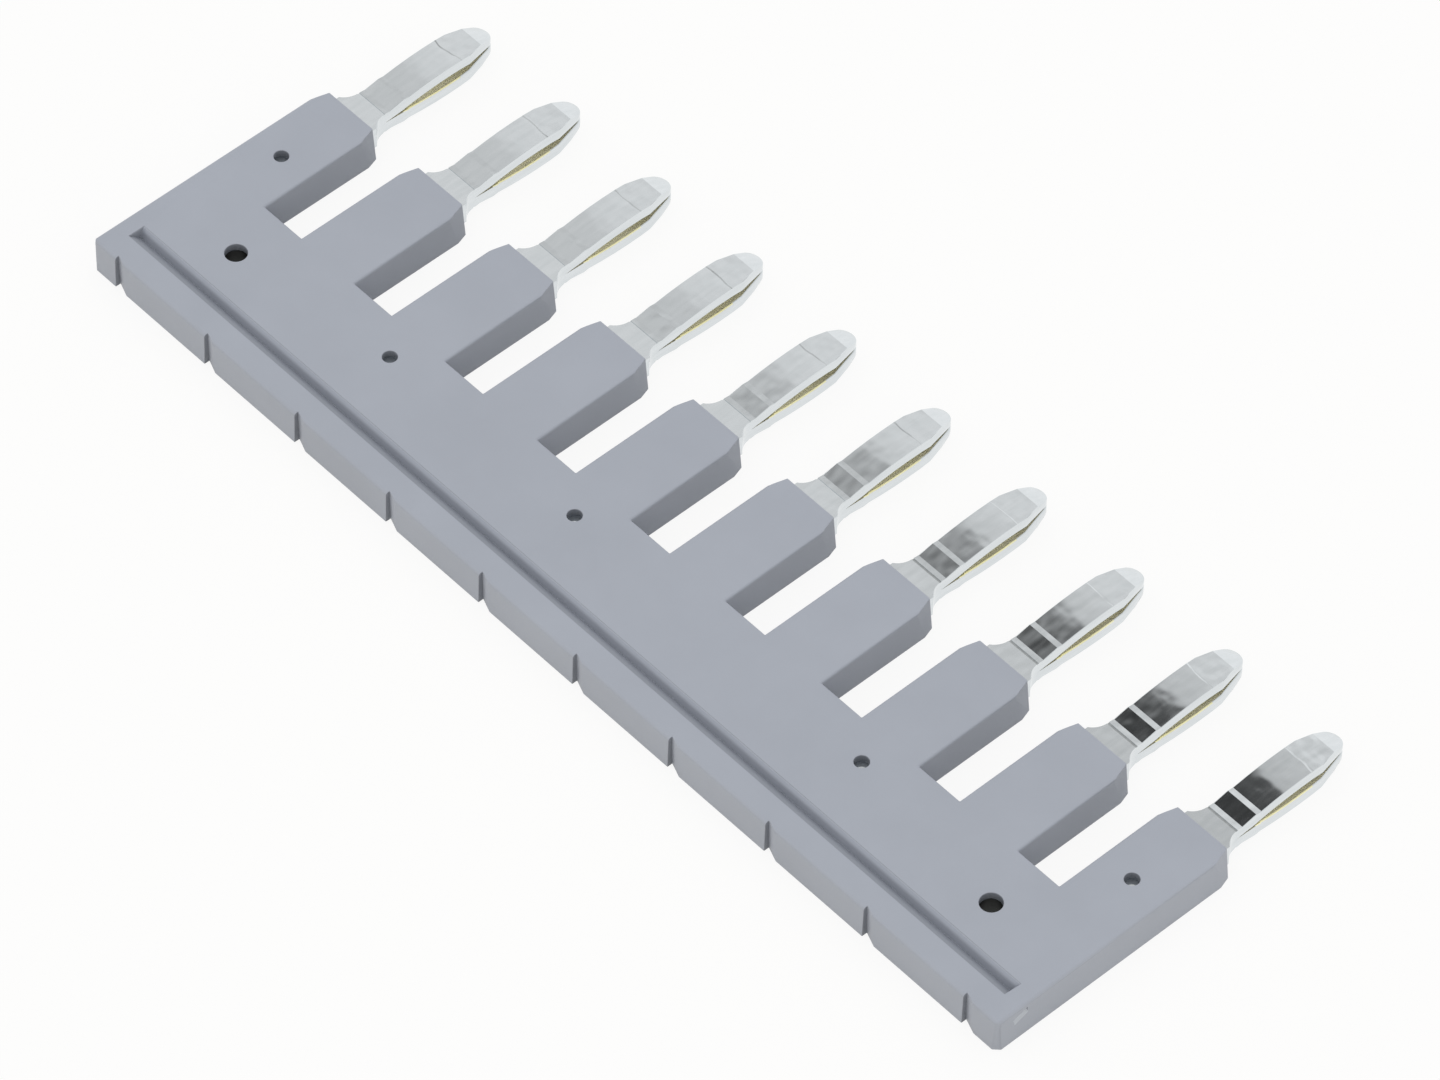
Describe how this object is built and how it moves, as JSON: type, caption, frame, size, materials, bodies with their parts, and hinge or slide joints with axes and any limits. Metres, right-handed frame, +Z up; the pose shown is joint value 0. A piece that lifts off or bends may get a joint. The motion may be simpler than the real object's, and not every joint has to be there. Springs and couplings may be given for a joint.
{
  "type": "terminal jumper",
  "caption": "Flat moulded comb with sprung twin-leaf metal prongs, plugged into a row of neighbouring terminal blocks to bridge them electrically.",
  "frame": {"origin": "under the middle of the whole part, at the level of the body's underside, as it lies flat", "axes": "+X along the row of poles, +Y from the grooved back edge to the prong tips, +Z up through the grooved face"},
  "size_m": [0.05, 0.0186, 0.0016],
  "materials": {
    "body_plastic": "blue-grey moulded plastic, fine satin surface",
    "contact_metal": "tin-plated copper alloy, silver-grey satin with bright bend lines"
  },
  "bodies": {
    "root": {"insulating_body": "body_plastic", "upper_contact_comb": "contact_metal", "lower_contact_comb": "contact_metal"}
  },
  "joints": []
}
